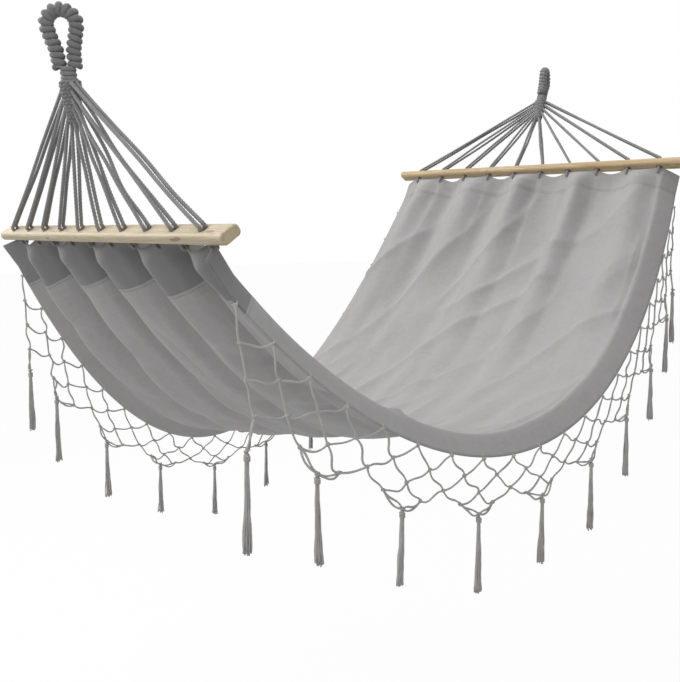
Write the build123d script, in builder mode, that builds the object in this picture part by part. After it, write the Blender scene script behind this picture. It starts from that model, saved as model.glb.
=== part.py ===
# A rope-hung hammock: two wrapped hanging loops, a fan of doubled ropes from a knotted collar
# to each wooden spreader bar, a canvas bed with folded end hems, and a knotted net with
# tassels along each long side. Millimetres, Z up. The origin is where the foot hook bears in
# the foot loop, and +X runs along the bed to the head end. The near side is at -Y.
from build123d import *
from math import asinh, cos, cosh, hypot, log, radians, sin, sinh, sqrt, tan
import os

# How the hammock hangs, measured between the middles of the rope holes on top of each bar
bar_distance = 1477.0
head_rise = 190.0
bar_splay = 5.0
foot_bar_tilt = 35.0
head_bar_tilt = 29.0
harness_length = 267.0
foot_lean = 7.5
foot_lean_heading = 180.0
head_lean = 35.4
head_lean_heading = 20.3

# Spreader bars
bar_length = 945.0
bar_width = 38.0
bar_thickness = 20.0
bar_corner = 8.0
bar_end_round = 3.0
hole_count = 10
hole_pitch = 90.0

# Ropes, and how much room a seated soft piece has
rope_diameter = 7.0
seat_gap = 0.3
mouth_rise = 6.0
mouth_bend = 10.0

# Hanging loops
wrap_diameter = 27.0
core_diameter = 12.0
loop_arc_radius = 26.0
loop_height = 115.0
loop_taper = 15.0
neck_height = 14.5
neck_ball = 28.0
foot_loop_twist = -27.0
head_loop_twist = -14.0

# Knotted collars
collar_top_diameter = 40.0
collar_tip_diameter = 26.0
collar_length = 75.0
collar_rim_drop = 8.0
collar_tip_round = 2.0
rope_step = 15.0
first_rope_drop = 3.0
inner_rope_spread = 12.0

# Canvas
canvas_length = 1790.0
canvas_thickness = 1.2
hem_thickness = 2.2
hem_depth = 60.0
hem_gap = 2.0
slot_depth = 12.0
slot_width = 10.0
scallop_width = 62.0
scallop_depth = 5.0
ridge_margin = 12.0
wing_width = 55.0
near_wing_droop = 55.0
far_wing_droop = 34.0
cross_sag = 22.0
end_sag = 0.2
near_bulge = 85.0
far_bulge = 135.0
far_bulge_lean = -31.0
near_lift = 26.0
far_lift = -67.0
near_lift_lean = -9.0
far_lift_lean = 10.0
station_count = 21

# Side nets
tie_count = 21
tie_pitch = 86.0
first_tie = 24.0
net_cord = 2.8
net_knot = 4.4
tassel_knot = 7.0
mesh_side = 58.0
tassel_side = 52.0
near_net_swing = 28.0
far_net_swing = 0.0
net_rounds = 260
settle_step = 2.0
settle_sweeps = 6
tassel_pull = 0.85
tassel_stand_out = 8.0

# Tassels
tassel_length = 135.0
tassel_length_step = 5.0
tassel_head = 11.0
tassel_waist = 7.0
tassel_hem = 13.0

up = Vector(0, 0, 1)


def level(heading):
    """The level direction at this many degrees from +X towards +Y."""
    return Vector(cos(radians(heading)), sin(radians(heading)), 0)


def leaning(angle, heading):
    """A direction that leans this far from straight up towards a heading."""
    return up * cos(radians(angle)) + level(heading) * sin(radians(angle))


class End:
    """One end of the hammock: its bar, its rope fan and the directions they are built on."""

    def __init__(self, name, mouth, out, splay, tilt, lean, twist):
        self.name = name
        self.mouth = mouth
        self.along = Vector(sin(radians(splay)), cos(radians(splay)), 0)
        outward = Vector(self.along.Y, -self.along.X, 0) * out
        self.top = up * cos(radians(tilt)) + outward * sin(radians(tilt))
        self.face = outward * -cos(radians(tilt)) + up * sin(radians(tilt))
        self.axis = lean
        self.fan = (self.along - lean * self.along.dot(lean)).normalized()
        self.front = self.fan.cross(lean) * (1 if self.fan.cross(lean).dot(self.face) > 0 else -1)
        self.ball = mouth + lean * (harness_length + first_rope_drop + collar_rim_drop)
        self.twist = twist

    def hem_point(self, offset, depth):
        """A point on the hem's middle sheet, down from the bar's underside."""
        return self.mouth + self.along * offset - self.top * (bar_thickness + hem_gap + depth)


# The hook bears on the inner top of the foot loop, and everything is measured from there
arc_height = loop_height + neck_height - loop_arc_radius - wrap_diameter / 2
seat_height = arc_height + loop_arc_radius - wrap_diameter / 2
foot_axis = leaning(foot_lean, foot_lean_heading)
head_axis = leaning(head_lean, head_lean_heading)
hook_reach = harness_length + first_rope_drop + collar_rim_drop + seat_height
foot_mouth = foot_axis * -hook_reach
head_mouth = foot_mouth + Vector(bar_distance, 0, head_rise)
foot = End("foot", foot_mouth, -1, bar_splay, foot_bar_tilt, foot_axis, foot_loop_twist)
head = End("head", head_mouth, 1, -bar_splay, head_bar_tilt, head_axis, head_loop_twist)

swing_axis = (head.ball - foot.ball).normalized()

hole_offsets = [(i - (hole_count - 1) / 2) * hole_pitch for i in range(hole_count)]
ridge_offset = hole_offsets[-1] + ridge_margin
strand_offset = (rope_diameter + hem_thickness) / 2 + seat_gap
hole_diameter = 2 * (strand_offset + rope_diameter / 2 + seat_gap)
slot_height = rope_diameter + 4 * seat_gap


def catenary_size(span, rise, length):
    """The size of the catenary that spans this far, rises this much and is this long."""
    ratio = sqrt(max(length**2 - rise**2, span**2 * 1.0001)) / span
    half = sqrt(6 * (ratio - 1)) if ratio < 2 else log(2 * ratio)
    for _ in range(20):
        slope = (cosh(half) * half - sinh(half)) / half**2
        half -= (sinh(half) / half - ratio) / slope
    return span / 2 / half


class Ridge:
    """The line along which the canvas is pulled tight, from the foot hem to the head hem."""

    def __init__(self, side, bulge, bulge_lean, lift, lift_lean):
        self.start = foot.hem_point(side * ridge_offset, hem_depth)
        run = head.hem_point(side * ridge_offset, hem_depth) - self.start
        self.span = hypot(run.X, run.Y)
        self.heading = Vector(run.X, run.Y, 0) / self.span
        self.outward = Vector(-self.heading.Y, self.heading.X, 0) * side
        self.size = catenary_size(self.span, run.Z, canvas_length)
        shift = asinh(run.Z / (2 * self.size * sinh(self.span / 2 / self.size)))
        self.low = self.span / 2 - self.size * shift
        self.bulge, self.bulge_lean = bulge, bulge_lean
        self.lift, self.lift_lean = lift, lift_lean

    def point(self, distance):
        """The point this far along the ridge from the foot hem."""
        first = sinh(-self.low / self.size)
        x = self.low + self.size * asinh(distance / self.size + first)
        drop = self.size * (cosh((x - self.low) / self.size) - cosh(self.low / self.size))
        u = x / self.span
        even, uneven = 4 * u * (1 - u), 10.4 * u * (1 - u) * (1 - 2 * u)
        side = self.bulge * even + self.bulge_lean * uneven
        height = drop + self.lift * even + self.lift_lean * uneven
        return self.start + self.heading * x + self.outward * side + up * height


near_ridge = Ridge(-1, near_bulge, 0, near_lift, near_lift_lean)
far_ridge = Ridge(1, far_bulge, far_bulge_lean, far_lift, far_lift_lean)


class Station:
    """One cross-section of the canvas, this far from the foot hem."""

    def __init__(self, distance):
        near, far = near_ridge.point(distance), far_ridge.point(distance)
        step = 2.0
        before, after = max(distance - step, 0), min(distance + step, canvas_length)
        run = near_ridge.point(after) + far_ridge.point(after)
        run -= near_ridge.point(before) + far_ridge.point(before)
        self.across = (far - near).normalized()
        if distance == 0:
            run = foot.top * -1
        if distance == canvas_length:
            run = head.top
        self.normal = self.across.cross(run).normalized()
        if self.normal.Z < 0:
            self.normal = self.normal * -1
        self.middle = (near + far) / 2
        self.half = (far - near).length / 2
        u = distance / canvas_length
        self.sag = end_sag + cross_sag * 4 * u * (1 - u)

    def plane(self):
        return Plane(origin=self.middle, x_dir=self.across, z_dir=self.across.cross(self.normal))

    def path(self):
        """The middle sheet of the cross-section, from the near edge to the far edge."""
        near_angle, far_angle = radians(near_wing_droop), radians(far_wing_droop)
        near_x = -self.half - wing_width * cos(near_angle)
        far_x = self.half + wing_width * cos(far_angle)
        quarter = self.half / 2
        return [
            Vector(near_x, -wing_width * sin(near_angle)),
            Vector(-self.half, 0),
            Vector(-quarter, -0.75 * self.sag),
            Vector(0, -self.sag),
            Vector(quarter, -0.75 * self.sag),
            Vector(self.half, 0),
            Vector(far_x, -wing_width * sin(far_angle)),
        ]

    def edge(self, side, clearance):
        """The point this far outside the canvas's near or far edge."""
        path = self.path()
        tip, ridge = (path[0], path[1]) if side < 0 else (path[-1], path[-2])
        spot = tip + (tip - ridge).normalized() * clearance
        return self.middle + self.across * spot.X + self.normal * spot.Y


def ribbon(path, thickness):
    """The closed outline of a sheet of this thickness around a path."""
    upper, lower = [], []
    for i, spot in enumerate(path):
        before = (spot - path[i - 1]).normalized() if i > 0 else None
        after = (path[i + 1] - spot).normalized() if i < len(path) - 1 else before
        before = before or after
        bisector = (before + after).normalized()
        normal = Vector(-bisector.Y, bisector.X)
        reach = thickness / 2 / bisector.dot(before)
        upper.append(spot + normal * reach)
        lower.append(spot - normal * reach)
    return upper + lower[::-1]


def flat(points):
    return [(p.X, p.Y) for p in points]


def save(part, name):
    part.label = name
    export_step(part, f"parts/{name}.step")


def build_loop(end):
    """The loop's core ring on its neck ball, and the cord wrapping around the ring."""
    facing = end.front * cos(radians(end.twist)) + end.fan * sin(radians(end.twist))
    plane = Plane(origin=end.ball, x_dir=facing, z_dir=facing.cross(end.axis))
    leg = wrap_diameter / 2 + seat_gap
    taper = radians(loop_taper)
    touch = (loop_arc_radius * cos(taper), arc_height - loop_arc_radius * sin(taper))
    bend = touch[1] - (touch[0] - leg) / tan(taper)
    ankle = neck_height - 4.5
    ring_bends = [core_diameter / 2 + 1, 40]
    root = core_diameter / 2 + seat_gap
    with BuildPart() as core:
        with BuildLine(plane) as ring:
            FilletPolyline((root, 0), (leg, ankle), (leg, bend), touch, radius=ring_bends)
            ThreePointArc(touch, (0, arc_height + loop_arc_radius), (-touch[0], touch[1]))
            FilletPolyline(
                (-touch[0], touch[1]), (-leg, bend), (-leg, ankle), (-root, 0), radius=ring_bends[::-1]
            )
        with BuildSketch(Plane(origin=ring.line @ 0, z_dir=ring.line % 0)):
            Circle(core_diameter / 2)
        sweep()
        with Locations(end.ball):
            Sphere(neck_ball / 2)
    save(core.part, f"{end.name}_loop_core")

    with BuildPart() as wrapping:
        with BuildLine(plane) as wrapped:
            FilletPolyline((leg, neck_height), (leg, bend), touch, radius=ring_bends[1:])
            ThreePointArc(touch, (0, arc_height + loop_arc_radius), (-touch[0], touch[1]))
            FilletPolyline(
                (-touch[0], touch[1]), (-leg, bend), (-leg, neck_height), radius=ring_bends[1:]
            )
        with BuildSketch(Plane(origin=wrapped.line @ 0, z_dir=wrapped.line % 0)):
            Circle(wrap_diameter / 2)
            Circle(core_diameter / 2 + seat_gap, mode=Mode.SUBTRACT)
        sweep()
    save(wrapping.part, f"{end.name}_loop_wrapping")


def collar_radius(drop):
    """The collar's radius this far below the neck ball's centre."""
    share = (drop - collar_rim_drop) / collar_length
    return (collar_top_diameter + (collar_tip_diameter - collar_top_diameter) * share) / 2


def build_collar(end):
    """A tapering knotted collar whose cupped top turns on the neck ball."""
    tip = collar_rim_drop + collar_length
    with BuildPart() as collar:
        with BuildSketch(Plane(origin=end.ball, x_dir=end.fan, z_dir=end.fan.cross(end.axis))):
            with BuildLine():
                Polyline(
                    (0, -collar_rim_drop),
                    (collar_top_diameter / 2, -collar_rim_drop),
                    (collar_tip_diameter / 2, -tip),
                    (0, -tip),
                    close=True,
                )
            make_face()
        revolve(axis=Axis(end.ball, end.axis))
        with Locations(end.ball):
            Sphere(neck_ball / 2 + seat_gap, mode=Mode.SUBTRACT)
        tip_edges = collar.edges().filter_by(GeomType.CIRCLE)
        tip_edge = tip_edges.sort_by(Axis(end.ball, end.axis * -1))[-1]
        fillet(tip_edge, collar_tip_round)
    save(collar.part, f"{end.name}_macrame_collar")


def rope_start(end, index, side):
    """Where one strand leaves the collar, just clear of its surface."""
    offset = hole_offsets[index]
    away = 1 if offset > 0 else -1
    place = round(abs(offset) / hole_pitch - 0.5)
    ring = hole_count // 2 - 1 - place
    if place == 0:
        lateral = inner_rope_spread / 2
        drop = collar_rim_drop + collar_length + seat_gap + rope_diameter * 0.15
    else:
        drop = collar_rim_drop + first_rope_drop + ring * rope_step
        fall = hook_reach - seat_height - drop
        lean = fall / hypot(fall, offset)
        radius = collar_radius(drop)
        lateral = sqrt(radius**2 - strand_offset**2) + seat_gap + lean * rope_diameter / 2
    across = end.fan * (away * lateral) + end.front * (side * strand_offset)
    return end.ball + across - end.axis * drop


def rope_route(end, index):
    """One doubled rope: collar, bar hole, hem slot, and back up beside itself."""
    hole = end.mouth + end.along * hole_offsets[index]
    turn_depth = bar_thickness + hem_gap + slot_depth + slot_height / 2
    down = [
        rope_start(end, index, -1),
        hole - end.face * strand_offset + end.top * mouth_rise,
        hole - end.face * strand_offset - end.top * turn_depth,
    ]
    back = [
        hole + end.face * strand_offset - end.top * turn_depth,
        hole + end.face * strand_offset + end.top * mouth_rise,
        rope_start(end, index, 1),
    ]
    return down + back


def build_rope(end, index):
    turn = strand_offset - 0.3
    with BuildPart() as rope:
        with BuildLine() as route:
            FilletPolyline(*rope_route(end, index), radius=[mouth_bend, turn, turn, mouth_bend])
        with BuildSketch(Plane(origin=route.line @ 0, z_dir=route.line % 0)):
            Circle(rope_diameter / 2)
        sweep()
    name = f"{end.name}_rope_{index + 1}"
    rope_run = sum(edge.length for edge in route.edges())
    print(f"{name}: {rope_run:.0f} mm long, bends {mouth_bend} and {turn:.1f} mm")
    save(rope.part, name)


def build_bar(end):
    """A flat rounded wooden bar with a row of rope holes square to its wide faces."""
    centre = end.mouth - end.top * (bar_thickness / 2)
    across = Plane(origin=centre, x_dir=end.face, z_dir=end.along)
    top = Plane(origin=end.mouth, x_dir=end.along, z_dir=end.top)
    with BuildPart() as bar:
        with BuildSketch(across):
            RectangleRounded(bar_width, bar_thickness, bar_corner)
        extrude(amount=bar_length / 2, both=True)
        ends = bar.faces().sort_by(Axis(centre, end.along))
        fillet(ends[0].edges() + ends[-1].edges(), bar_end_round)
        with BuildSketch(top):
            with GridLocations(hole_pitch, 0, hole_count, 1):
                Circle(hole_diameter / 2)
        extrude(amount=-bar_thickness, mode=Mode.SUBTRACT)
    save(bar.part, f"{end.name}_spreader_bar")


def build_hem(end, station):
    """A folded end hem with one slot for each rope and a scalloped top edge."""
    sheet = Plane(origin=end.hem_point(0, 0), x_dir=end.along, z_dir=end.along.cross(end.top))
    swell = (scallop_width**2 / 4 + scallop_depth**2) / (2 * scallop_depth)
    with BuildPart() as hem:
        with BuildSketch(station.plane()):
            with BuildLine():
                Polyline(*flat(ribbon(station.path(), hem_thickness)), close=True)
            make_face()
        extrude(amount=hem_depth, dir=end.top)
        with BuildSketch(sheet):
            with Locations((0, -slot_depth - slot_height / 2)):
                with GridLocations(hole_pitch, 0, hole_count, 1):
                    RectangleRounded(slot_width, slot_height, slot_height / 2 - 0.1)
            with Locations((0, swell - scallop_depth)):
                with GridLocations(hole_pitch, 0, hole_count - 1, 1):
                    Circle(swell)
        extrude(amount=hem_thickness, both=True, mode=Mode.SUBTRACT)
    save(hem.part, f"{end.name}_end_hem")


def build_canvas():
    """The canvas bed: a hanging sheet whose long edges droop outside the outermost ropes."""
    with BuildPart() as canvas:
        for i in range(station_count):
            station = Station(canvas_length * i / (station_count - 1))
            with BuildSketch(station.plane()):
                with BuildLine():
                    Polyline(*flat(ribbon(station.path(), canvas_thickness)), close=True)
                make_face()
        loft()
    save(canvas.part, "canvas_bed")


class Net:
    """A side net: three rows of knots below the ties, and a tassel knot at every other tie."""

    def __init__(self, side):
        self.side = side
        self.swing = near_net_swing if side < 0 else far_net_swing
        self.points, self.links = {}, []
        for k in range(1, tie_count + 1):
            self.points["tie", k] = self.tie_plane(k).origin
        self.rows = {
            "first": range(1, tie_count),
            "second": range(2, tie_count),
            "third": range(2, tie_count - 1),
            "tassel": range(2, tie_count, 2),
        }
        for depth, (row, places) in enumerate(self.rows.items()):
            for k in places:
                middle = k if row in ("second", "tassel") else k + 0.5
                self.points[row, k] = self.edge(middle) - up * (0.6 * mesh_side * (depth + 1))
        for k in self.rows["first"]:
            self.link(("tie", k), ("first", k), mesh_side)
            self.link(("tie", k + 1), ("first", k), mesh_side)
        for k in self.rows["second"]:
            self.link(("first", k - 1), ("second", k), mesh_side)
            self.link(("first", k), ("second", k), mesh_side)
        for k in self.rows["third"]:
            self.link(("second", k), ("third", k), mesh_side)
            self.link(("second", k + 1), ("third", k), mesh_side)
        for k in self.rows["tassel"]:
            self.link(("third", k - 1), ("tassel", k), tassel_side)
            self.link(("third", k), ("tassel", k), tassel_side)

    def link(self, one, other, length):
        if one in self.points and other in self.points:
            self.links.append((one, other, length))

    def edge(self, k, clearance=0.0):
        return Station(first_tie + (k - 1) * tie_pitch).edge(self.side, clearance)

    def tie_plane(self, k):
        """Where a tie knot sits square on the canvas edge, just clear of it."""
        along = (self.edge(k + 0.1) - self.edge(k - 0.1)).normalized()
        out = self.edge(k, 1.0) - self.edge(k)
        out = (out - along * out.dot(along)).normalized()
        return Plane(origin=self.edge(k) + out * (net_knot / 2 + seat_gap), x_dir=along, z_dir=out)

    def settle(self):
        """Let the knots hang: pull them down, then draw every cord in to its length."""
        spots = {name: [point.X, point.Y, point.Z] for name, point in self.points.items()}
        for turn in range(net_rounds):
            pull = settle_step * (1 - turn / net_rounds)
            for (row, k), spot in spots.items():
                if row != "tie":
                    swing = self.swing * max(0, 1 - 2 * (k - 1) / (tie_count - 1))
                    spot[0] -= pull * tan(radians(swing))
                    spot[2] -= pull
            for _ in range(settle_sweeps):
                for one, other, length in self.links:
                    start, stop = spots[one], spots[other]
                    gap = [b - a for a, b in zip(start, stop)]
                    span = hypot(*gap)
                    if span > length:
                        slack = (span - length) / span
                        share = 0.0 if one[0] == "tie" else 0.5
                        share = tassel_pull if other[0] == "tassel" else share
                        for i in range(3):
                            start[i] += gap[i] * slack * share
                            stop[i] -= gap[i] * slack * (1 - share)
        for k in self.rows["tassel"]:
            spots["tassel", k][1] += self.side * tassel_stand_out
        self.points = {name: Vector(*spot) for name, spot in spots.items()}


def build_net(net, name):
    """The net's cords and knots, joined row by row from the ties down.

    Where the edge is steep, a tassel knot hangs by its upper cord and the slack one is left out.
    """
    rows = {row: [] for row in ("tie", *net.rows)}
    for one, other, _ in net.links:
        run = net.points[other] - net.points[one]
        if other[0] == "tassel" and run.Z > 0:
            continue
        route = Plane(origin=net.points[one], z_dir=run)
        rows[other[0]].append(Solid.make_cylinder(net_cord / 2, run.length, route))
    for (row, k), point in net.points.items():
        if row == "tassel":
            roll = Plane(origin=point - swing_axis * (tassel_knot / 2), z_dir=swing_axis)
            rows[row].append(Solid.make_cylinder(tassel_knot / 2, tassel_knot, roll))
        else:
            seat = net.tie_plane(k) if row == "tie" else Plane(point)
            seat.origin = seat.from_local_coords((-net_knot / 2,) * 3)
            rows[row].append(Solid.make_box(net_knot, net_knot, net_knot, seat))
    with BuildPart() as mesh:
        add(rows["tie"] + rows["first"])
        add(rows["second"])
        add(rows["third"])
        add(rows["tassel"])
    save(mesh.part, name)


def build_tassel(pivot, length, name):
    """A tassel whose head hangs just under its net knot."""
    head_drop = tassel_knot / 2 + seat_gap + tassel_head / 2
    with BuildPart() as tassel:
        with BuildSketch(Plane(origin=pivot, x_dir=(1, 0, 0), z_dir=(0, -1, 0))):
            with BuildLine():
                Polyline(
                    (0, -head_drop),
                    (tassel_waist / 2, -head_drop),
                    (tassel_waist / 2, -head_drop - tassel_head),
                    (tassel_hem / 2, -head_drop - length),
                    (0, -head_drop - length),
                    close=True,
                )
            make_face()
        revolve(axis=Axis(pivot, (0, 0, 1)))
        with Locations(pivot - up * head_drop):
            Sphere(tassel_head / 2)
    save(tassel.part, name)


os.makedirs("parts", exist_ok=True)
for end in (foot, head):
    build_loop(end)
    build_collar(end)
    build_bar(end)
    for index in range(hole_count):
        build_rope(end, index)
build_hem(foot, Station(0))
build_hem(head, Station(canvas_length))
build_canvas()
for side, name in ((-1, "near"), (1, "far")):
    net = Net(side)
    net.settle()
    build_net(net, f"{name}_side_net")
    for i, k in enumerate(range(2, tie_count, 2)):
        length = tassel_length + tassel_length_step * ((3 * i + side) % 5 - 2)
        build_tassel(net.points["tassel", k], length, f"{name}_tassel_{i + 1}")
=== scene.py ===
import math
from types import SimpleNamespace

import bpy
import numpy as np
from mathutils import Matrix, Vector, noise


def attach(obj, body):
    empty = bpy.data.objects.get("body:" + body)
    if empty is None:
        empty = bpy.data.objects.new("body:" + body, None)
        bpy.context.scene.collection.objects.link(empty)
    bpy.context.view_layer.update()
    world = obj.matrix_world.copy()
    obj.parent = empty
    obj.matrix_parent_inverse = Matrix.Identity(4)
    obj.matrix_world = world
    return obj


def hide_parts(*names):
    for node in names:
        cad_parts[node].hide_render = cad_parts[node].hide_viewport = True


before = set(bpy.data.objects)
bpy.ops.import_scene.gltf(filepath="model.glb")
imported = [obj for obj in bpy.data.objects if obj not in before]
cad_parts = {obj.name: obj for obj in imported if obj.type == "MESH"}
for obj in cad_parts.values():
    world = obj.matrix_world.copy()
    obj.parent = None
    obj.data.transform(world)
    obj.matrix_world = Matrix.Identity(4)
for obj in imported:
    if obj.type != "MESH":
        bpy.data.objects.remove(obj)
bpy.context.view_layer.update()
scene = bpy.context.scene
print("frame loaded")

# camera, at the photograph's viewpoint
cameraSettings = dict(place=(-0.73904, -1.4542, -0.37820), tilt=84.859, turn=-45.216,
                      lens=44.665, shift=(-0.00914, -0.0522))


def addCamera(s):
    data = bpy.data.cameras.new("photoCamera")
    data.sensor_fit = "HORIZONTAL"
    data.sensor_width = 36
    data.lens = s["lens"]
    data.shift_x, data.shift_y = s["shift"]
    data.clip_end = 60
    camera = bpy.data.objects.new("photoCamera", data)
    camera.location = s["place"]
    camera.rotation_euler = (math.radians(s["tilt"]), 0, math.radians(s["turn"]))
    scene.collection.objects.link(camera)
    scene.camera = camera


addCamera(cameraSettings)
scene.view_settings.view_transform = "Standard"
print("camera placed")

# the hammock's own sizes, in millimetres and degrees, as the frame was built
hang = dict(barDistance=1477, headRise=190, splay=5, footTilt=35, headTilt=29, harness=267, ballRise=11,
            footLean=(7.5, 180), headLean=(35.4, 20.3), barThickness=20, holePitch=90, holes=10,
            strandGap=4.9)
loop = dict(wrapRadius=13.5, arcRadius=26, height=115, taper=15, neck=14.5, footTwist=-27, headTwist=-14)
collar = dict(rim=8, length=75, rimRadius=20, taper=7, firstRope=3, ropeStep=15)
cloth = dict(length=1790, hemDepth=60, hemGap=2, slotDepth=16, wing=55, nearDroop=55, farDroop=34,
             sag=22, endSag=0.2, near=(85, 0, 26, -9), far=(135, -31, -67, 10), ridge=417)
netting = dict(ties=21, pitch=86, first=24, side=58, tasselSide=52, seat=2.5, nearSwing=28, farSwing=0,
               rounds=260, step=2.0, sweeps=6, pull=0.85, standOut=8, rowDrop=0.6)

up = np.array((0.0, 0.0, 1.0))


def unit(v):
    v = np.array(v, float)
    return v / np.linalg.norm(v)


def leaning(angle, heading):
    a, h = math.radians(angle), math.radians(heading)
    return np.array((math.sin(a) * math.cos(h), math.sin(a) * math.sin(h), math.cos(a)))


arcHeight = loop["height"] + loop["neck"] - loop["arcRadius"] - loop["wrapRadius"]
seatHeight = arcHeight + loop["arcRadius"] - loop["wrapRadius"]
hookReach = hang["harness"] + hang["ballRise"] + seatHeight


def makeEnd(name, mouth, out, splay, tilt, axis, twist):
    s, t, w = math.radians(splay), math.radians(tilt), math.radians(twist)
    along = np.array((math.sin(s), math.cos(s), 0.0))
    outward = np.array((along[1], -along[0], 0.0)) * out
    top = up * math.cos(t) + outward * math.sin(t)
    face = -outward * math.cos(t) + up * math.sin(t)
    fan = unit(along - axis * along.dot(axis))
    front = np.cross(fan, axis)
    front = front if front.dot(face) > 0 else -front
    return SimpleNamespace(name=name, mouth=mouth, along=along, top=top, face=face, axis=axis, fan=fan,
                           front=front, ball=mouth + axis * (hang["harness"] + hang["ballRise"]),
                           facing=front * math.cos(w) + fan * math.sin(w))


footAxis, headAxis = leaning(*hang["footLean"]), leaning(*hang["headLean"])
footMouth = -footAxis * hookReach
headMouth = footMouth + np.array((hang["barDistance"], 0, hang["headRise"]))
foot = makeEnd("foot", footMouth, -1, hang["splay"], hang["footTilt"], footAxis, loop["footTwist"])
head = makeEnd("head", headMouth, 1, -hang["splay"], hang["headTilt"], headAxis, loop["headTwist"])
holeOffsets = [(i - (hang["holes"] - 1) / 2) * hang["holePitch"] for i in range(hang["holes"])]


# a mesh is gathered as grids of points in millimetres, then made into one object
class Gather:
    def __init__(self):
        self.points, self.faces, self.count = [], [], 0

    def grid(self, rows, closed, caps=False):
        rows = np.asarray(rows, float)
        n, m = rows.shape[:2]
        first = self.count
        self.points.append(rows.reshape(-1, 3))
        self.count += n * m
        i, j = np.meshgrid(np.arange(n - 1), np.arange(m if closed else m - 1), indexing="ij")
        k = (j + 1) % m
        quads = np.stack([i * m + j, i * m + k, (i + 1) * m + k, (i + 1) * m + j], -1)
        self.faces.extend(map(tuple, (quads.reshape(-1, 4) + first).tolist()))
        if caps:
            self.faces.append(tuple(range(first + m - 1, first - 1, -1)))
            self.faces.append(tuple(range(first + (n - 1) * m, first + n * m)))

    def tube(self, path, radius, sides=8, lobes=0, depth=0.0, lay=20.0, phase=0.0):
        path = np.asarray(path, float)
        tangent = np.gradient(path, axis=0)
        tangent /= np.linalg.norm(tangent, axis=1)[:, None] + 1e-12
        u = np.zeros_like(path)
        side = np.cross(tangent[0], (0.31, 0.17, 0.93))  # any direction that the path doesn't start along
        if np.linalg.norm(side) < 0.1:
            side = np.cross(tangent[0], (1.0, 0.2, 0.0))
        for i, t in enumerate(tangent):
            side = side - t * side.dot(t)
            side = side / (np.linalg.norm(side) + 1e-12)
            u[i] = side
        v = np.cross(tangent, u)
        run = np.concatenate([[0], np.cumsum(np.linalg.norm(np.diff(path, axis=0), axis=1))])
        phi = np.linspace(0, 2 * math.pi, sides, endpoint=False)
        radius = np.broadcast_to(np.asarray(radius, float), len(path))
        wave = 1 + depth * np.cos(lobes * (phi[None] - 2 * math.pi * run[:, None] / lay - phase))
        r = (radius[:, None] * wave)[..., None]
        around = np.cos(phi)[None, :, None] * u[:, None] + np.sin(phi)[None, :, None] * v[:, None]
        self.grid(path[:, None] + r * around, True, caps=True)

    def make(self, name, material):
        mesh = bpy.data.meshes.new(name)
        mesh.from_pydata((np.concatenate(self.points) / 1000).tolist(), [], self.faces)
        mesh.polygons.foreach_set("use_smooth", [True] * len(mesh.polygons))
        mesh.materials.append(material)
        mesh.update()
        piece = bpy.data.objects.new(name, mesh)
        scene.collection.objects.link(piece)
        return piece


def rounded(points, bends, steps=7):
    points = [np.asarray(p, float) for p in points]
    out = [points[0]]
    for a, b, c, bend in zip(points, points[1:], points[2:], bends):
        back, on = unit(a - b), unit(c - b)
        cut = min(bend, 0.48 * np.linalg.norm(a - b), 0.48 * np.linalg.norm(c - b))
        start, stop = b + back * cut, b + on * cut
        for t in np.linspace(0, 1, steps):
            out.append(start * (1 - t) ** 2 + b * 2 * t * (1 - t) + stop * t * t)
    out.append(points[-1])
    return np.array(out)


def spaced(path, step):
    path = np.asarray(path, float)
    run = np.concatenate([[0], np.cumsum(np.linalg.norm(np.diff(path, axis=0), axis=1))])
    keep = np.concatenate([[True], np.diff(run) > 1e-6])
    path, run = path[keep], run[keep]
    at = np.linspace(0, run[-1], max(int(run[-1] / step), 2) + 1)
    return np.stack([np.interp(at, run, path[:, k]) for k in range(3)], 1)


def wobble(x, y=0.0, z=0.0):
    return noise.noise(Vector((x, y, z)))


# shader maths: a value wraps a socket, and a finish makes the nodes
class Value:
    def __init__(self, finish, socket):
        self.finish, self.socket = finish, socket

    def output(self, index):
        return Value(self.finish, self.socket.node.outputs[index])

    def maths(self, operation, a, b=0.0):
        return self.finish.node("ShaderNodeMath", {"operation": operation}, {0: a, 1: b})

    def __add__(self, other):
        return self.maths("ADD", self, other)

    def __radd__(self, other):
        return self.maths("ADD", other, self)

    def __sub__(self, other):
        return self.maths("SUBTRACT", self, other)

    def __rsub__(self, other):
        return self.maths("SUBTRACT", other, self)

    def __mul__(self, other):
        return self.maths("MULTIPLY", self, other)

    def __rmul__(self, other):
        return self.maths("MULTIPLY", other, self)

    def __lt__(self, other):
        return self.maths("LESS_THAN", self, other)

    def __gt__(self, other):
        return self.maths("GREATER_THAN", self, other)

    def __abs__(self):
        return self.maths("ABSOLUTE", self)


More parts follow.
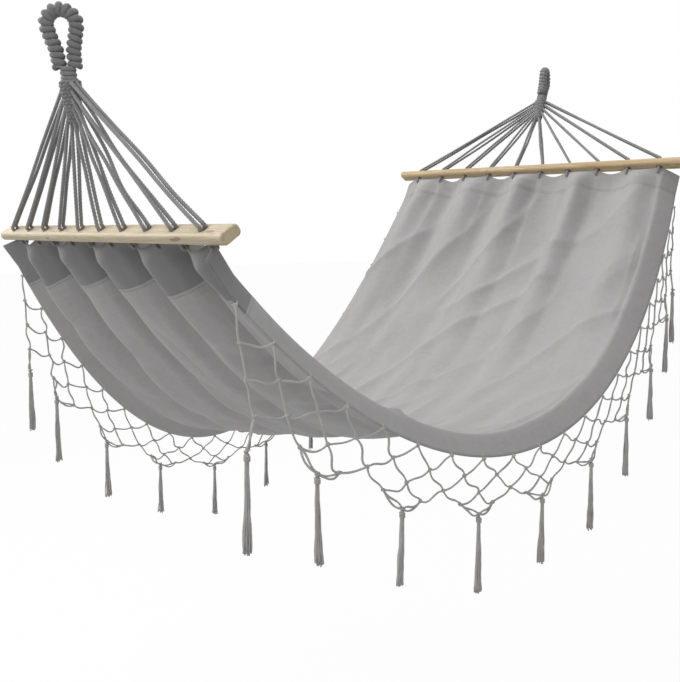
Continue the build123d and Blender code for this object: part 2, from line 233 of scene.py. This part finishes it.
class Finish:
    def __init__(self, name):
        self.material = bpy.data.materials.new(name)
        self.material.use_nodes = True
        self.tree = self.material.node_tree
        self.surface = self.tree.nodes["Principled BSDF"]

    def node(self, kind, settings=None, values=None, output=0):
        made = self.tree.nodes.new(kind)
        for key, value in (settings or {}).items():
            setattr(made, key, value)
        for key, value in (values or {}).items():
            if isinstance(value, Value):
                self.tree.links.new(value.socket, made.inputs[key])
            else:
                made.inputs[key].default_value = value
        return Value(self, made.outputs[output])

    def ramp(self, factor, stops):
        made = self.node("ShaderNodeValToRGB", {}, {"Fac": factor})
        elements = made.socket.node.color_ramp.elements
        while len(elements) > 1:
            elements.remove(elements[-1])
        elements[0].position = stops[0][0]
        elements[0].color = (*stops[0][1], 1)
        for place, colour in stops[1:]:
            elements.new(place).color = (*colour, 1)
        return made

    def mixed(self, share, under, over):
        values = {0: share, 6: under, 7: (*over, 1)}
        return self.node("ShaderNodeMix", {"data_type": "RGBA"}, values, output=2)

    def noise(self, place, **values):
        return self.node("ShaderNodeTexNoise", {}, {"Vector": place, **values})

    def stretched(self, place, sizes):
        return self.node("ShaderNodeMapping", {}, {"Vector": place, "Scale": sizes})

    def wave(self, value, length):
        return value.maths("SINE", value * (2 * math.pi / length))

    def dress(self, colour, height, distance, **fixed):
        self.tree.links.new(colour.socket, self.surface.inputs["Base Color"])
        bump = self.node("ShaderNodeBump", {}, {"Height": height, "Distance": distance, "Strength": 1.0})
        self.tree.links.new(bump.socket, self.surface.inputs["Normal"])
        for key, value in fixed.items():
            self.surface.inputs[key.replace("_", " ")].default_value = value
        return self.material


def shade(colour, amount):
    return tuple(min(c * amount, 1) for c in colour)


def cottonCord(name, colour, fibre=1400, blotch=45):
    f = Finish(name)
    place = f.node("ShaderNodeTexCoord", output="Object")
    fine = f.noise(place, Scale=fibre, Detail=3.0, Roughness=0.7)
    broad = f.noise(place, Scale=blotch, Detail=4.0)
    stops = [(0.25, shade(colour, 0.72)), (0.5, colour), (0.8, shade(colour, 1.25))]
    tone = f.ramp(fine * 0.55 + broad * 0.45, stops)
    return f.dress(tone, fine, 0.0009, Roughness=0.92, Sheen_Weight=0.25, Sheen_Roughness=0.5)


# the cloth's pattern is laid out flat, in metres: across the hammock, and along it from the foot hem's fold.
# The dark strip over the foot hem is painted shade.
canvasLook = dict(colour=(0.375, 0.366, 0.365), yarn=0.0021, footBand=0.045, paintedShadeTone=(0.19, 0.186, 0.188),
                  paintedShadeShare=0.85, thread=(0.24, 0.235, 0.235), stitch=0.0042, stitchGap=-0.35,
                  seamGap=0.006, seamHalf=0.0009)


def canvasFinish(s):
    f = Finish("cottonCanvas")
    flat = f.node("ShaderNodeTexCoord", output="UV")
    across = f.node("ShaderNodeSeparateXYZ", {}, {0: flat})
    along = across.output(1)

    def cottonNoise(sizes, scale=1.0, detail=3.0):
        return f.noise(f.stretched(flat, sizes), Scale=scale, Detail=detail, Roughness=0.6)

    weave = f.wave(across, s["yarn"]) * f.wave(along, s["yarn"])
    slubAcross = cottonNoise((28.0, 620.0, 1.0))
    slubAlong = cottonNoise((640.0, 24.0, 1.0))
    cloud = cottonNoise((1.0, 1.0, 1.0), scale=5.0, detail=6.0)
    worn = cottonNoise((60.0, 60.0, 1.0), detail=8.0)
    tone = slubAcross * 0.28 + slubAlong * 0.28 + cloud * 0.24 + worn * 0.2
    stops = [(0.28, shade(s["colour"], 0.76)), (0.5, s["colour"]), (0.74, shade(s["colour"], 1.2))]
    cotton = f.ramp(tone, stops)
    # two rows of lockstitch at each end: under the foot hem's strip of painted shade, and at the head hem's
    # fold
    length = cloth["length"] / 1000
    seams = [s["footBand"], s["footBand"] + s["seamGap"], length, length - s["seamGap"]]
    rows = [abs(along - seam) < s["seamHalf"] for seam in seams]
    stitch = (rows[0] + rows[1] + rows[2] + rows[3]) * (f.wave(across, s["stitch"]) > s["stitchGap"])
    # painted shade: the cloth over the foot hem is mixed toward a dark grey
    withPaintedShade = f.mixed((along < s["footBand"]) * s["paintedShadeShare"], cotton, s["paintedShadeTone"])
    colour = f.mixed(stitch, withPaintedShade, s["thread"])
    height = weave * 0.10 + slubAcross * 0.5 + slubAlong * 0.5 + stitch * 0.8
    return f.dress(colour, height, 0.0011, Roughness=0.94, Sheen_Weight=0.2, Sheen_Roughness=0.6)


# light and dark of each bar's pine, and how its figure, pores and knots stretch along the grain
barLook = dict(foot=((0.60, 0.52, 0.37), (0.42, 0.33, 0.20)), head=((0.62, 0.49, 0.30), (0.43, 0.30, 0.15)),
               figure=(2.2, 46.0, 46.0), pores=(7.0, 420.0, 420.0), knots=(9.0, 34.0, 34.0),
               rings=0.085, knotSize=0.11, knotColour=(0.16, 0.085, 0.04), knotShade=0.6)


def woodFinish(end, s):
    f = Finish(end.name + "Pine")
    light, dark = s[end.name]
    place = f.node("ShaderNodeTexCoord", output="Object")
    heading = math.atan2(end.along[1], end.along[0])
    turned = {"Vector": place, "Rotation": (0.0, 0.0, heading)}
    grain = f.node("ShaderNodeMapping", {"vector_type": "TEXTURE"}, turned)
    figure = f.noise(f.stretched(grain, s["figure"]), Scale=1.0, Detail=5.0, Distortion=0.9)
    pores = f.noise(f.stretched(grain, s["pores"]), Scale=1.0, Detail=3.0)
    knot = f.node("ShaderNodeTexVoronoi", {}, {"Vector": f.stretched(grain, s["knots"]), "Scale": 1.0})
    tone = figure * 0.5 + f.wave(figure, s["rings"]) * 0.16 + pores * 0.28 + 0.08
    middling = tuple((a + b) / 2 for a, b in zip(light, dark))
    wood = f.ramp(tone, [(0.2, dark), (0.5, middling), (0.72, light)])
    colour = f.mixed((knot < s["knotSize"]) * s["knotShade"], wood, s["knotColour"])
    height = pores * 0.6 + figure * 0.4
    return f.dress(colour, height, 0.0006, Roughness=0.55, Coat_Weight=0.12, Coat_Roughness=0.4)


ropeGrey = cottonCord("twistedRope", (0.262, 0.257, 0.258))
wrapGrey = cottonCord("wrappingCord", (0.225, 0.222, 0.225))
collarGrey = cottonCord("collarCord", (0.235, 0.232, 0.235))
netGrey = cottonCord("netCord", (0.50, 0.49, 0.48), fibre=1800)
tasselGrey = cottonCord("tasselYarn", (0.49, 0.48, 0.475), fibre=2200)
canvasGrey = canvasFinish(canvasLook)
print("finishes made")

# wooden bars keep their solids and get a grain that runs along them
for end in (foot, head):
    pine = woodFinish(end, barLook)
    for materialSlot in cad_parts[end.name + "_spreader_bar"].material_slots:
        materialSlot.material = pine

# hanging loops: a tight coil of cord round a ring of rope, over a whipped neck
coilLook = dict(cord=5.6, centre=8.1, pitch=11.6, perTurn=20, uneven=0.5)
coreLook = dict(radius=8.6, neck=9.5, neckSwell=1.6, neckLow=-11, neckHigh=15, whipCord=4.6, whipCentre=10.2,
                whipTurns=2.6, whipLow=-7, whipPitch=8.6)
wrapLay = dict(sides=12, lobes=3, depth=0.09, lay=26)


def ringPath():
    t = math.radians(loop["taper"])
    leg = loop["wrapRadius"] + 0.3
    r = loop["arcRadius"]
    touch = (r * math.cos(t), arcHeight - r * math.sin(t))
    bend = touch[1] - (touch[0] - leg) / math.tan(t)
    half = rounded([(leg, loop["neck"] + 1, 0), (leg, bend, 0), (touch[0], touch[1], 0)], [14])[:, :2]
    turn = np.linspace(-t, math.pi + t, 60)[1:-1]
    arc = np.stack([r * np.cos(turn), arcHeight + r * np.sin(turn)], 1)
    return np.concatenate([half, arc, half[::-1] * (-1, 1)])


def buildWraps(end, path, square, s):
    tangent = np.gradient(path, axis=0)
    tangent /= np.linalg.norm(tangent, axis=1)[:, None]
    inward = np.cross(tangent, square)
    run = np.arange(len(path)) * np.linalg.norm(path[1] - path[0])
    turns = run[-1] / s["pitch"]
    at = np.linspace(0, run[-1], int(turns * s["perTurn"]))
    centre = np.stack([np.interp(at, run, path[:, k]) for k in range(3)], 1)
    side = np.stack([np.interp(at, run, inward[:, k]) for k in range(3)], 1)
    angle = 2 * math.pi * at / s["pitch"]
    reach = s["centre"] + np.array([wobble(a * 0.11, 3.0) for a in at]) * s["uneven"]
    coil = centre + reach[:, None] * (side * np.cos(angle)[:, None] + square * np.sin(angle)[:, None])
    wraps = Gather()
    wraps.tube(coil, s["cord"], **wrapLay)
    piece = wraps.make(end.name + "LoopWraps", wrapGrey)
    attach(piece, "hooked_loops")
    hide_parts(end.name + "_loop_wrapping")


def buildCore(end, path, square, s):
    core = Gather()
    core.tube(path, s["radius"], sides=14, lobes=3, depth=0.05, lay=30)
    heights = np.linspace(s["neckLow"], s["neckHigh"], 14)
    swell = np.sin((heights - s["neckLow"]) / (s["neckHigh"] - s["neckLow"]) * math.pi)
    neck = [end.ball + end.axis * h for h in heights]
    core.tube(neck, s["neck"] + s["neckSwell"] * swell, sides=16, lobes=4, depth=0.06, lay=60)
    whip = []
    for a in np.linspace(0, s["whipTurns"] * 2 * math.pi, 60):
        spoke = end.facing * math.cos(a) + square * math.sin(a)
        rise = s["whipLow"] + s["whipPitch"] * a / (2 * math.pi)
        whip.append(end.ball + end.axis * rise + s["whipCentre"] * spoke)
    core.tube(whip, s["whipCord"], **wrapLay)
    piece = core.make(end.name + "LoopCore", ropeGrey)
    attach(piece, "hooked_loops")
    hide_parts(end.name + "_loop_core")


# knotted collar: a taper covered in slanted grains of cord, row upon row
collarLook = dict(rows=12, grains=11, swell=2.9, top=20.5, tip=12.5, length=76, drop=7, lip=1.5,
                  around=132, high=150, slant=0.42, under=2.4)


def buildCollar(end, s):
    phi = np.linspace(0, 2 * math.pi, s["around"], endpoint=False)
    outward = np.cos(phi)[:, None] * end.fan + np.sin(phi)[:, None] * end.front
    bottom = s["drop"] + s["length"]
    rows = []
    for h in np.linspace(s["drop"] - s["lip"], bottom + s["lip"], s["high"]):
        row = (h - s["drop"]) / s["length"] * s["rows"]
        level = math.floor(row)
        b = row - level - 0.5
        column = phi / (2 * math.pi) * s["grains"] + 0.5 * (level % 2)
        a = (column - np.floor(column)) - 0.5
        a = a + s["slant"] * b * (1 if level % 2 else -1)
        grain = np.sqrt(np.clip(1 - (a / 0.5) ** 2 - (b / 0.56) ** 2, 0, 1))
        closing = math.sqrt(max(0.0, min(1.0, (h - s["drop"] + 2.0) / 7, (bottom + 2.0 - h) / 5)))
        share = np.clip((h - s["drop"]) / s["length"], 0, 1)
        taper = s["top"] + (s["tip"] - s["top"]) * share
        r = (taper - s["under"] + s["swell"] * grain) * (0.55 + 0.45 * closing)
        r = r * (1 + 0.04 * np.cos(2 * phi + 1.3) + 0.03 * np.cos(3 * phi - h / 20))
        rows.append(end.ball - end.axis * h + r[:, None] * outward)
    body = Gather()
    body.grid(rows, True, caps=True)
    piece = body.make(end.name + "Collar", collarGrey)
    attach(piece, "bed")
    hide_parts(end.name + "_macrame_collar")


# doubled ropes: collar, bar hole, hem slot and back, laid in three strands; slack is one figure a rope
ropeLook = dict(radius=3.3, lay=dict(sides=12, lobes=3, depth=0.14, lay=21), step=1.9, sink=5, innerSpread=6,
                innerShort=4, aboveHole=7, bend=4.4, points=26, sway=7, spread=2.2, frontSway=8, sag=3,
                slackFoot=(1.0, 1.6, 1.4, 0.7, 0.3, 0.2, 0.3, 0.3, 0.4, 0.3),
                slackHead=(0.4, 0.3, 0.3, 0.3, 0.4, 0.5, 0.4, 0.3, 0.5, 0.4),
                seedFoot=0, seedHead=31)


def ropeStart(end, index, side, s):
    offset = holeOffsets[index]
    away = 1 if offset > 0 else -1
    place = round(abs(offset) / hang["holePitch"] - 0.5)
    ring = hang["holes"] // 2 - 1 - place
    if place == 0:
        lateral, drop = s["innerSpread"], collar["rim"] + collar["length"] - s["innerShort"]
    else:
        drop = collar["rim"] + collar["firstRope"] + ring * collar["ropeStep"]
        surface = collar["rimRadius"] - collar["taper"] * (drop - collar["rim"]) / collar["length"]
        lateral = math.sqrt(max(surface ** 2 - 24, 60)) - s["sink"]
    return end.ball + end.fan * away * lateral + end.front * side * hang["strandGap"] - end.axis * drop


def strandPath(end, index, side, s):
    kind = end.name.capitalize()
    slack = s["slack" + kind][index]
    seed = index * 7.1 + side * 2.3 + s["seed" + kind]
    start = ropeStart(end, index, side, s)
    hole = end.mouth + end.along * holeOffsets[index] + end.face * side * hang["strandGap"]
    stop = hole + end.top * s["aboveHole"]
    points = []
    for t in np.linspace(0, 1, s["points"])[:-1]:
        p = start + (stop - start) * t
        belly = math.sin(math.pi * t)
        p = p + end.fan * belly * slack * (s["sway"] * wobble(t * 2.4 + seed, seed) + side * s["spread"])
        p = p + end.front * belly * slack * s["frontSway"] * wobble(t * 2.1 + seed, seed + 9)
        p = p - up * belly * slack * s["sag"]
        points.append(p)
    return points + [stop]


def buildRope(end, index, s):
    gap = hang["strandGap"]
    hole = end.mouth + end.along * holeOffsets[index]
    low = hole - end.top * (hang["barThickness"] + cloth["hemGap"] + cloth["slotDepth"])
    down = strandPath(end, index, -1, s)
    back = strandPath(end, index, 1, s)[::-1]
    turn = rounded([down[-1], low - end.face * gap, low + end.face * gap, back[0]], [s["bend"], s["bend"]])
    path = spaced(np.concatenate([down[:-1], turn, back[1:]]), s["step"])
    body = Gather()
    body.tube(path, s["radius"], phase=index, **s["lay"])
    piece = body.make(f"{end.name}Rope{index + 1}", ropeGrey)
    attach(piece, "bed")
    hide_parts(f"{end.name}_rope_{index + 1}")


for end in (foot, head):
    loopPath = spaced([end.ball + end.facing * x + end.axis * y for x, y in ringPath()], 1.0)
    square = unit(np.cross(end.facing, end.axis))
    buildWraps(end, loopPath, square, coilLook)
    buildCore(end, loopPath, square, coreLook)
    buildCollar(end, collarLook)
    for index in range(hang["holes"]):
        buildRope(end, index, ropeLook)
print("loops, collars and ropes made")


def hemPoint(end, offset, depth):
    return end.mouth + end.along * offset - end.top * (hang["barThickness"] + cloth["hemGap"] + depth)


# the canvas hangs in two catenaries, one along each outermost pull line
class PullLine:
    def __init__(self, side, shape):
        self.start = hemPoint(foot, side * cloth["ridge"], cloth["hemDepth"])
        run = hemPoint(head, side * cloth["ridge"], cloth["hemDepth"]) - self.start
        self.span = math.hypot(run[0], run[1])
        self.heading = np.array((run[0], run[1], 0)) / self.span
        self.out = np.array((-self.heading[1], self.heading[0], 0)) * side
        ratio = math.sqrt(cloth["length"] ** 2 - run[2] ** 2) / self.span
        half = math.sqrt(6 * (ratio - 1))
        for _ in range(20):
            slope = (math.cosh(half) * half - math.sinh(half)) / half ** 2
            half -= (math.sinh(half) / half - ratio) / slope
        self.size = self.span / 2 / half
        self.low = self.span / 2 - self.size * math.asinh(run[2] / (2 * self.size * math.sinh(half)))
        self.shape = shape

    def point(self, distance):
        x = self.low + self.size * math.asinh(distance / self.size + math.sinh(-self.low / self.size))
        drop = self.size * (math.cosh((x - self.low) / self.size) - math.cosh(self.low / self.size))
        u = x / self.span
        even, uneven = 4 * u * (1 - u), 10.4 * u * (1 - u) * (1 - 2 * u)
        bulge, bulgeLean, lift, liftLean = self.shape
        aside = self.out * (bulge * even + bulgeLean * uneven)
        return self.start + self.heading * x + aside + up * (drop + lift * even + liftLean * uneven)


nearLine, farLine = PullLine(-1, cloth["near"]), PullLine(1, cloth["far"])


def droopOf(side):
    return math.radians(cloth["nearDroop"] if side < 0 else cloth["farDroop"])


def crossSection(distance):
    length = cloth["length"]
    d = min(max(distance, 0), length)
    near, far = nearLine.point(d), farLine.point(d)
    on, back = min(d + 2, length), max(d - 2, 0)
    run = nearLine.point(on) + farLine.point(on) - nearLine.point(back) - farLine.point(back)
    if d == 0:
        run = -foot.top
    if d == length:
        run = head.top
    across = unit(far - near)
    normal = unit(np.cross(across, run))
    normal = normal if normal[2] > 0 else -normal
    middle = (near + far) / 2
    if distance < 0:
        middle = middle - foot.top * distance
    if distance > length:
        middle = middle + head.top * (distance - length)
    u = d / length
    return SimpleNamespace(middle=middle, across=across, normal=normal, half=np.linalg.norm(far - near) / 2,
                           sag=cloth["endSag"] + cloth["sag"] * 4 * u * (1 - u))


def edgePoint(distance, side, clearance):
    c = crossSection(distance)
    droop = droopOf(side)
    reach = cloth["wing"] + clearance
    out = c.across * side * (c.half + reach * math.cos(droop))
    return c.middle + out - c.normal * reach * math.sin(droop)


# pleats between the slots, long drape folds from each end, and broad swells and creases in the middle
foldLook = dict(footDeep=40, headDeep=31, reach=400, drift=30, long=620, scallop=12, crease=14, swell=7,
                footDepths=(1.0, 1.25, 0.8, 1.2, 0.9, 1.3, 0.85, 1.1, 0.9),
                headDepths=(0.9, 0.7, 1.1, 0.8, 1.2, 0.9, 0.7, 1.1, 0.8),
                ridgeWidth=16, ridgeDrop=3.6, thickness=0.0016, patternHalf=0.53,
                across=171, along=245, edge=9)


def foldLift(s, q, distance, k, bulge):
    fromFoot = distance + cloth["hemDepth"]
    fromHead = cloth["length"] + cloth["hemDepth"] - distance
    lift = 0.0
    for name, fromEnd, turn, layer, odd in (("foot", fromFoot, 1, 4, 0), ("head", fromHead, -1, 17, 1)):
        depth = s[name + "Depths"][k]
        fade = math.exp(-max(fromEnd - 45, 0) / (s["reach"] * (0.7 + 0.5 * depth)))
        start = min(1, 0.45 + fromEnd / 60)
        way = 1 if (k + odd) % 2 else -0.75
        pleat = bulge ** 1.4 if bulge > 0 else 0
        lift += s[name + "Deep"] * depth * fade * start * pleat * way
        longFade = math.exp(-fromEnd / s["long"]) * min(1, fromEnd / 120)
        lift += s["drift"] * longFade * wobble(q / 62 + fromEnd * turn / 1500, fromEnd / 700, layer)
    broad = min(1, fromFoot / 300, fromHead / 300)
    lift += s["swell"] * broad * wobble(q / 210, distance / 330, 40)
    crease = 1 - abs(wobble((q + distance * 0.55) / 150, (distance - q * 0.4) / 520, 70))
    return lift + s["crease"] * broad * crease ** 6 * 0.8


def canvasPoint(s, c, distance, t):
    side = -1 if t < 0 else 1
    droop = droopOf(side)
    m = min(abs(t), 1)
    w = max(abs(t) - 1, 0) * cloth["wing"]
    x = side * (c.half * m + w * math.cos(droop))
    y = -c.sag * (1 - m * m) - w * math.sin(droop)
    past = c.half * m + w - c.half
    if abs(past) < s["ridgeWidth"]:
        y -= s["ridgeDrop"] * math.sin(droop) * max(0.0, 1 - (past / s["ridgeWidth"]) ** 2)
    q = m * cloth["ridge"] * side
    cells = hang["holes"] - 1
    cell = (q + holeOffsets[-1]) / hang["holePitch"]
    inside = 0 <= cell < cells
    k = min(max(int(cell), 0), cells - 1)
    bulge = math.sin(math.pi * (cell - k)) if inside else 0.0
    calm = max(0.0, 1 - w / cloth["wing"]) * (1 if inside else 0.35)
    lift = foldLift(s, q, distance, k, bulge) * calm
    p = c.middle + c.across * x + c.normal * (y + lift)
    cut = s["scallop"] * (bulge if inside else 0.2)
    if distance <= 0:
        p = p - foot.top * cut * (-distance / cloth["hemDepth"])
    if distance >= cloth["length"]:
        p = p - head.top * cut * ((distance - cloth["length"]) / cloth["hemDepth"])
    return p, (side * (m * s["patternHalf"] + w / 1000), distance / 1000)


def finer(low, high, count, wing, edge):
    before, after = np.linspace(low - wing, low, edge)[:-1], np.linspace(high, high + wing, edge)[1:]
    return np.concatenate([before, np.linspace(low, high, count), after])


def buildCanvas(s):
    columns = finer(-1, 1, s["across"], 1, s["edge"])
    rows = finer(0, cloth["length"], s["along"], cloth["hemDepth"], s["edge"])
    points, flat = [], []
    for distance in rows:
        c = crossSection(distance)
        line = [canvasPoint(s, c, distance, t) for t in columns]
        points.append([p for p, _ in line])
        flat.extend(place for _, place in line)
    body = Gather()
    body.grid(points, False)
    piece = body.make("canvasBed", canvasGrey)
    layer = piece.data.uv_layers.new(name="flat")
    corners = np.empty(len(piece.data.loops), int)
    piece.data.loops.foreach_get("vertex_index", corners)
    layer.data.foreach_set("uv", np.array(flat, float)[corners].ravel())
    thick = piece.modifiers.new("thickness", "SOLIDIFY")
    thick.thickness = s["thickness"]
    thick.offset = 0
    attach(piece, "bed")
    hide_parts("canvas_bed", "foot_end_hem", "head_end_hem")


buildCanvas(foldLook)
print("canvas made")


# side nets: knots that are settled by their weight, slack cords between them, a tassel at every other tie
def netKnots(side, n):
    def atEdge(k, clearance=0.0):
        return edgePoint(n["first"] + (k - 1) * n["pitch"], side, clearance)

    points = {}
    for k in range(1, n["ties"] + 1):
        along = unit(atEdge(k + 0.1) - atEdge(k - 0.1))
        out = atEdge(k, 1.0) - atEdge(k)
        out = unit(out - along * out.dot(along))
        points["tie", k] = atEdge(k) + out * n["seat"]
    rows = {"first": range(1, n["ties"]), "second": range(2, n["ties"]), "third": range(2, n["ties"] - 1),
            "tassel": range(2, n["ties"], 2)}
    for depth, (row, places) in enumerate(rows.items()):
        for k in places:
            middle = k if row in ("second", "tassel") else k + 0.5
            points[row, k] = atEdge(middle) - up * (n["rowDrop"] * n["side"] * (depth + 1))
    links = []
    steps = (("tie", "first", 0, n["side"]), ("first", "second", -1, n["side"]),
             ("second", "third", 0, n["side"]), ("third", "tassel", -1, n["tasselSide"]))
    for above, row, first, length in steps:
        wanted = [((above, k + first + j), (row, k), length) for k in rows[row] for j in (0, 1)]
        links += [link for link in wanted if link[0] in points]
    return points, links


def settleNet(side, n):
    points, links = netKnots(side, n)
    spots = {name: list(map(float, p)) for name, p in points.items()}
    swing = n["nearSwing"] if side < 0 else n["farSwing"]
    for turn in range(n["rounds"]):
        pull = n["step"] * (1 - turn / n["rounds"])
        for (row, k), spot in spots.items():
            if row != "tie":
                lean = math.radians(swing * max(0, 1 - 2 * (k - 1) / (n["ties"] - 1)))
                spot[0] -= pull * math.tan(lean)
                spot[2] -= pull
        for _ in range(n["sweeps"]):
            for one, other, length in links:
                a, b = spots[one], spots[other]
                gap = [y - x for x, y in zip(a, b)]
                span = math.hypot(*gap)
                if span > length:
                    part = (span - length) / span
                    share = 0.0 if one[0] == "tie" else 0.5
                    share = n["pull"] if other[0] == "tassel" else share
                    for i in range(3):
                        a[i] += gap[i] * part * share
                        b[i] -= gap[i] * part * (1 - share)
    for (row, _), spot in spots.items():
        if row == "tassel":
            spot[1] += side * n["standOut"]
    return {name: np.array(p) for name, p in spots.items()}, links


netLook = dict(cord=1.9, lay=dict(sides=7, lobes=2, depth=0.13, lay=10), points=13, knot=1.15, tasselKnot=1.2,
               plainKnot=0.9, looseness=1.25, wave=7, spare=1.015, sagShare=0.19, deepest=17, secondCord=5,
               tieInset=-7, tieLength=9, tiePoints=6, tieLooseness=0.2)


def slackCurve(s, a, b, length, seed, count, loose, wave=0.0):
    span = np.linalg.norm(b - a)
    spare = max(length * s["spare"] - span, 0)
    sag = min(math.sqrt(spare * (length + span) * s["sagShare"]), s["deepest"]) * loose
    lean = np.array((wobble(seed, 1.7), wobble(seed, 5.1) * 1.4, 0)) * (0.5 * sag + 2.5)
    control = (a + b) / 2 + (-up * sag + lean) * 2 * 0.7
    t = np.linspace(0, 1, count)[:, None]
    across = unit(np.cross(b - a, (0.3, 1.0, 0.2)))
    ripple = across * wave * wobble(seed * 2.3, 4.4) * np.sin(2 * math.pi * t)
    return a * (1 - t) ** 2 + control * 2 * t * (1 - t) + b * t * t + ripple


# an overhand knot as a trefoil, turned a different way at each place
def knotPath(place, size, seed):
    t = np.linspace(0, 2 * math.pi, 25)
    x, y = np.sin(t) + 2 * np.sin(2 * t), np.cos(t) - 2 * np.cos(2 * t)
    shape = np.stack([x, y, -np.sin(3 * t)], 1) * size
    a, b = seed * 1.7, seed * 0.9
    turnZ = np.array([[math.cos(a), -math.sin(a), 0], [math.sin(a), math.cos(a), 0], [0, 0, 1]])
    turnX = np.array([[1, 0, 0], [0, math.cos(b), -math.sin(b)], [0, math.sin(b), math.cos(b)]])
    return place + shape @ turnZ @ turnX


def buildNet(side, name, s):
    points, links = settleNet(side, netting)
    body = Gather()
    for i, (one, other, length) in enumerate(links):
        for j in range(2 if other[0] == "tassel" else 1):
            seed = i * 3.3 + j * 11 + side
            path = slackCurve(s, points[one], points[other], length + s["secondCord"] * j, seed, s["points"],
                              s["looseness"], s["wave"])
            body.tube(path, s["cord"], **s["lay"])
    for i, ((row, k), place) in enumerate(points.items()):
        size = s["knot"] * (s["tasselKnot"] if row == "tassel" else s["plainKnot"])
        body.tube(knotPath(place, size, i), s["cord"] * 0.95, sides=6)
        if row == "tie":
            inCloth = edgePoint(netting["first"] + (k - 1) * netting["pitch"], side, s["tieInset"])
            tie = slackCurve(s, place, inCloth, s["tieLength"], i, s["tiePoints"], s["tieLooseness"])
            body.tube(tie, s["cord"] * 0.9, sides=6)
    piece = body.make(name + "SideNet", netGrey)
    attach(piece, "bed")
    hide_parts(name + "_side_net")
    return points


# tassels: a sheaf of yarns pinched at the top, opening downward, under a few turns of binding
tasselLook = dict(strands=26, yarn=1.3, pinch=3.2, spread=8.2, wave=4.5, length=135, lengthStep=5, points=15,
                  overlap=9.5, uneven=9.6, lean=9, top=2.5, goldenTurn=2.39996, bindTurns=4, bindRadius=4.3,
                  bindTop=-6.5, bindPitch=2.3, bindCord=1.35)


def buildTassel(pivot, length, name, seed, s):
    body = Gather()
    top = pivot - up * s["top"]
    lean = np.array((wobble(seed, 2.2), wobble(seed, 8.1), 0)) * s["lean"]
    for j in range(s["strands"]):
        a = j * s["goldenTurn"]
        share = math.sqrt((j + 0.5) / s["strands"])
        reach = length + s["overlap"] + s["uneven"] * wobble(seed + j, 0.3)
        path = []
        for t in np.linspace(0, 1, s["points"]):
            pinch = s["pinch"] * share * min(1, t * 9 + 0.3)
            flare = (s["spread"] - s["pinch"]) * share * max(0, (t - 0.14) / 0.86) ** 1.2
            wave = s["wave"] * t * wobble(seed * 3 + j * 1.9, t * 3.2)
            side = np.array((math.cos(a), math.sin(a) * 0.8, 0)) * (pinch + flare + wave)
            path.append(top + side + lean * t * t * 0.7 - up * reach * t)
        body.tube(path, s["yarn"], sides=5, lobes=2, depth=0.12, lay=9)
    binding = []
    for w in np.linspace(0, s["bindTurns"] * 2 * math.pi, s["bindTurns"] * 12):
        down = s["bindTop"] - s["bindPitch"] * w / (2 * math.pi)
        binding.append(pivot + np.array((math.cos(w) * s["bindRadius"], math.sin(w) * s["bindRadius"], down)))
    body.tube(binding, s["bindCord"], sides=6)
    piece = body.make(name.replace("_t", "T").replace("_", ""), tasselGrey)
    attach(piece, name + "_body")
    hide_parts(name)


for side, name in ((-1, "near"), (1, "far")):
    points = buildNet(side, name, netLook)
    for i, k in enumerate(range(2, netting["ties"], 2)):
        length = tasselLook["length"] + tasselLook["lengthStep"] * ((3 * i + side) % 5 - 2)
        buildTassel(points["tassel", k], length, f"{name}_tassel_{i + 1}", i * 5.3 + side * 2, tasselLook)
print("nets and tassels made")

# pale floor, white surround and soft lamps; a lamp is its name, power, place and size
studio = dict(floor=-1.72, floorHalf=24, floorMiddle=0.85, white=0.97, fill=0.31, aim=(0.85, 0.0, -0.5),
              lamps=(("keyLamp", 78, (-1.2, 2.5, 1.3), 1.5), ("frontLamp", 40, (-1.9, -1.8, 1.4), 2.2),
                     ("topLamp", 40, (0.9, 0.2, 2.3), 3.0)))


def addFloor(s):
    f = Finish("studioFloor")
    seen = f.node("ShaderNodeLightPath", output="Is Camera Ray")
    plain = f.node("ShaderNodeBsdfDiffuse", {}, {"Color": (0.86, 0.86, 0.86, 1)})
    glow = f.node("ShaderNodeEmission", {}, {"Color": (1, 1, 1, 1)})
    mix = f.node("ShaderNodeMixShader", {}, {0: seen * s["white"], 1: plain, 2: glow})
    f.tree.links.new(mix.socket, f.tree.nodes["Material Output"].inputs["Surface"])
    floor = Gather()
    places = np.linspace(-s["floorHalf"], s["floorHalf"], 5) * 1000
    middle, height = s["floorMiddle"] * 1000, s["floor"] * 1000
    floor.grid([[(x + middle, y, height) for x in places] for y in places], False)
    piece = floor.make("studioFloor", f.material)


def addLamps(s):
    for name, power, place, size in s["lamps"]:
        data = bpy.data.lights.new(name, "AREA")
        data.energy = power
        data.size = size
        lamp = bpy.data.objects.new(name, data)
        lamp.location = place
        lamp.rotation_euler = (Vector(s["aim"]) - Vector(place)).to_track_quat("-Z", "Y").to_euler()
        scene.collection.objects.link(lamp)


# the surround lights softly, and is white where the camera or a reflection sees it
def addSurround(s):
    world = bpy.data.worlds.new("studioWorld")
    scene.world = world
    world.use_nodes = True
    tree = world.node_tree
    tree.nodes.clear()
    path = tree.nodes.new("ShaderNodeLightPath")
    either = tree.nodes.new("ShaderNodeMath")
    either.operation = "MAXIMUM"
    tree.links.new(path.outputs["Is Camera Ray"], either.inputs[0])
    tree.links.new(path.outputs["Is Glossy Ray"], either.inputs[1])
    blend = tree.nodes.new("ShaderNodeMixShader")
    tree.links.new(either.outputs[0], blend.inputs[0])
    for socket, strength in ((1, s["fill"]), (2, 1.0)):
        background = tree.nodes.new("ShaderNodeBackground")
        background.inputs["Color"].default_value = (1, 1, 1, 1)
        background.inputs["Strength"].default_value = strength
        tree.links.new(background.outputs[0], blend.inputs[socket])
    out = tree.nodes.new("ShaderNodeOutputWorld")
    tree.links.new(blend.outputs[0], out.inputs["Surface"])


addFloor(studio)
addLamps(studio)
addSurround(studio)
print("studio lit")
